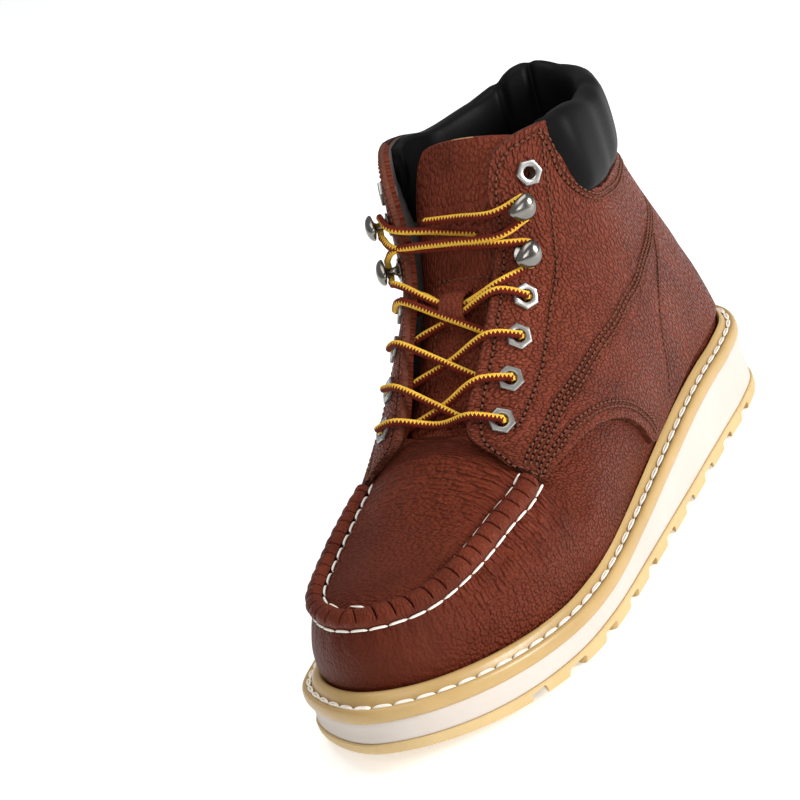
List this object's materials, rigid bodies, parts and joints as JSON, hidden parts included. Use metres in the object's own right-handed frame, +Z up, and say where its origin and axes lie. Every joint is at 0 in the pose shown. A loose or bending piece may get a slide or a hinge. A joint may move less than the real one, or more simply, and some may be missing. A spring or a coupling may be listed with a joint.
{
  "type": "moc toe work boot",
  "caption": "Left lace-up leather work boot with a raised moccasin toe seam, padded collar, stitched welt and flat wedge sole.",
  "frame": {"origin": "middle of the bounding box on the floor plane under the sole", "axes": "+X from the toe to the heel, +Y to the medial side, +Z up"},
  "size_m": [0.3, 0.109, 0.1703],
  "materials": {
    "leather": "tumbled grain, soft sheen",
    "collar": "smooth padded, soft sheen",
    "tongue": "matte grain",
    "outsole": "matte",
    "midsole": "matte foam",
    "welt": "satin",
    "insole": "felt",
    "nickel": "polished",
    "hook": "polished dark",
    "lace": "braided"
  },
  "bodies": {
    "root": {"outsole": "outsole", "midsole": "midsole", "welt": "welt", "insole": "insole", "upper": "leather", "moc_seam": "leather", "quarter_lateral": "leather", "quarter_medial": "leather", "collar": "collar", "tongue": "tongue", "lace_keeper": "tongue", "eyelet_lateral_1": "nickel", "eyelet_lateral_2": "nickel", "eyelet_lateral_3": "nickel", "eyelet_lateral_4": "nickel", "hook_lateral_5": "hook", "hook_lateral_6": "hook", "eyelet_lateral_7": "nickel", "eyelet_medial_1": "nickel", "eyelet_medial_2": "nickel", "eyelet_medial_3": "nickel", "eyelet_medial_4": "nickel", "hook_medial_5": "hook", "hook_medial_6": "hook", "eyelet_medial_7": "nickel", "lace_bar": "lace", "lace_cross_1": "lace", "lace_cross_2": "lace", "lace_cross_3": "lace", "lace_cross_4": "lace", "lace_cross_5": "lace", "lace_end_lateral": "lace", "lace_end_medial": "lace"}
  },
  "joints": []
}
